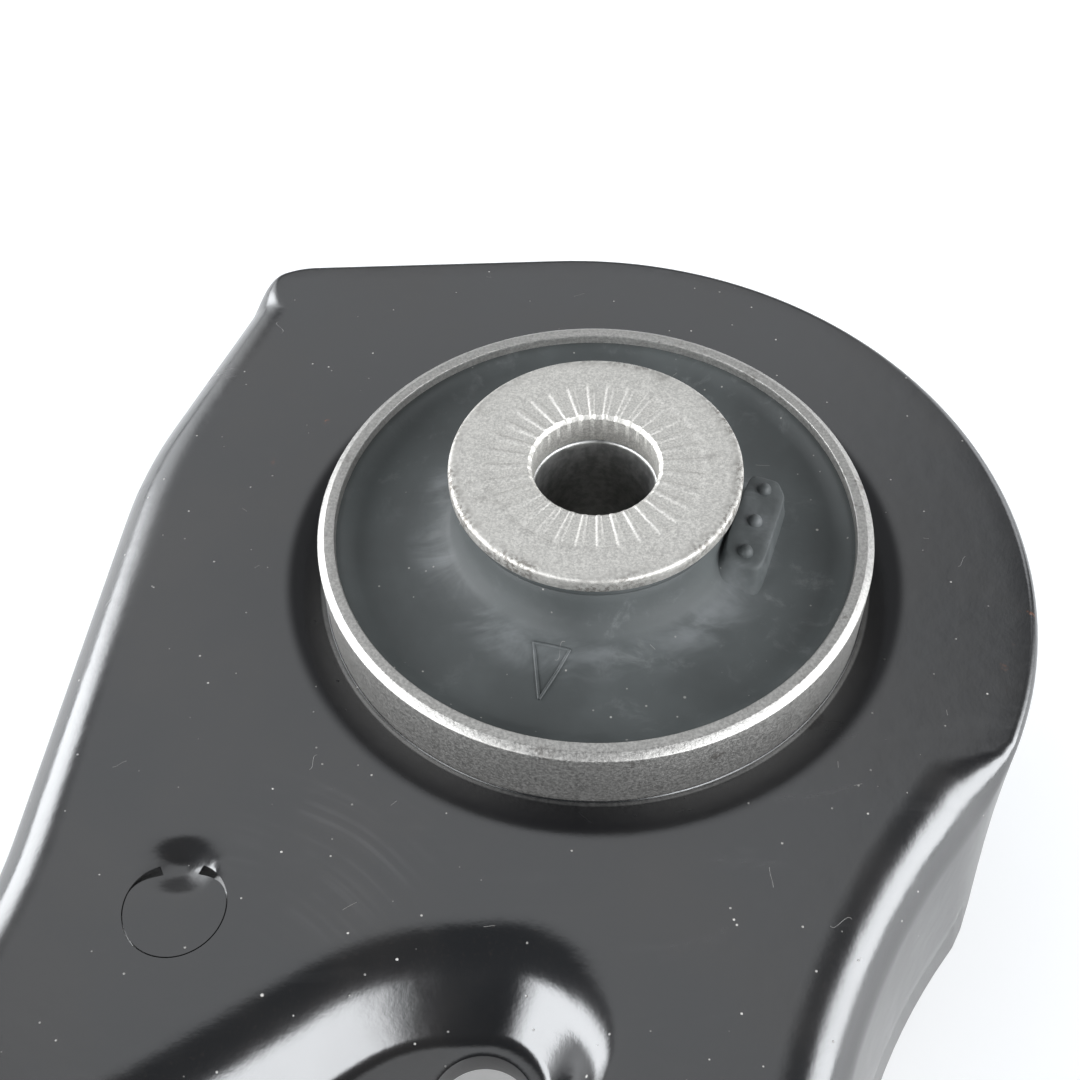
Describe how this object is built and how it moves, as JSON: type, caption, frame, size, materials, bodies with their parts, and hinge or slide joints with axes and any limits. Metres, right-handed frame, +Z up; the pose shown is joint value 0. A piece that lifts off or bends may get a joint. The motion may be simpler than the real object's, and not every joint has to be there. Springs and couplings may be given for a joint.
{
  "type": "control arm",
  "caption": "Triangular pressed-steel lower control arm with an upright rear bush, a horizontal front bush and a riveted ball joint.",
  "frame": {"origin": "on the rear bush's bolt axis, level with the flat top face of the pressed arm", "axes": "+Z up along the rear bush axis, -Y towards the front bush (the car's forward direction), -X outboard towards the ball joint"},
  "size_m": [0.4199, 0.3775, 0.0995],
  "materials": {
    "arm_paint": "gloss black electrocoat",
    "sleeve_steel": "drawn tube, bare, with a turned bright chamfer",
    "core_steel": "blasted, matt",
    "bush_rubber": "matt, moulded",
    "boot_rubber": "satin, moulded",
    "housing_steel": "phosphated forging, satin",
    "stud_steel": "turned, oiled",
    "ring_steel": "spring steel",
    "rivet_steel": "closed rivet heads, satin",
    "seat_plastic": "acetal"
  },
  "bodies": {
    "arm": {"arm_shell": "arm_paint", "eye_tube": "arm_paint", "eye_gusset": "arm_paint", "eye_weld": "arm_paint", "gusset_weld": "arm_paint", "rear_outer_sleeve": "sleeve_steel", "rear_rubber": "bush_rubber", "front_outer_sleeve": "sleeve_steel", "front_rubber": "bush_rubber", "ball_housing": "housing_steel", "ball_seat": "seat_plastic", "ball_end_cap": "housing_steel", "boot_lower_ring": "ring_steel", "ball_rivets": "rivet_steel"},
    "rear_core": {"rear_core_tube": "core_steel", "rear_head_washer": "core_steel", "rear_foot_washer": "core_steel"},
    "front_core": {"front_inner_sleeve": "core_steel"},
    "boot_middle": {"dust_boot": "boot_rubber"},
    "boot_top": {"boot_upper_ring": "ring_steel"},
    "stud": {"ball_stud": "stud_steel"}
  },
  "joints": [
    {"name": "front_bush_twist", "type": "hinge", "parent": "arm", "child": "front_core", "pos_m": [0.006, -0.29, -0.01], "axis": [0, 1, 0], "range_deg": [-14, 14], "stiffness_Nm_per_rad": 60, "deforming": ["front_rubber"]},
    {"name": "rear_bush_tilt", "type": "hinge", "parent": "arm", "child": "rear_core", "pos_m": [0, 0, -0.011], "axis": [0, 1, 0], "range_deg": [-14, 14], "stiffness_Nm_per_rad": 80, "deforming": ["rear_rubber"]},
    {"name": "stud_tilt_fore", "type": "hinge", "parent": "arm", "child": "boot_middle", "pos_m": [-0.318, -0.255, -0.002], "axis": [1, 0, 0], "range_deg": [-20, 20], "deforming": ["dust_boot"]},
    {"name": "stud_tilt_out", "type": "hinge", "parent": "boot_middle", "child": "boot_top", "pos_m": [-0.318, -0.255, -0.002], "axis": [0, 1, 0], "range_deg": [-20, 20], "deforming": ["dust_boot"]},
    {"name": "stud_spin", "type": "hinge", "parent": "boot_top", "child": "stud", "pos_m": [-0.318, -0.255, -0.002], "axis": [0, 0, 1], "continuous": true}
  ],
  "couplings": [
    {"joint": "rear_bush_tilt", "follows": "front_bush_twist", "ratio": 1}
  ]
}
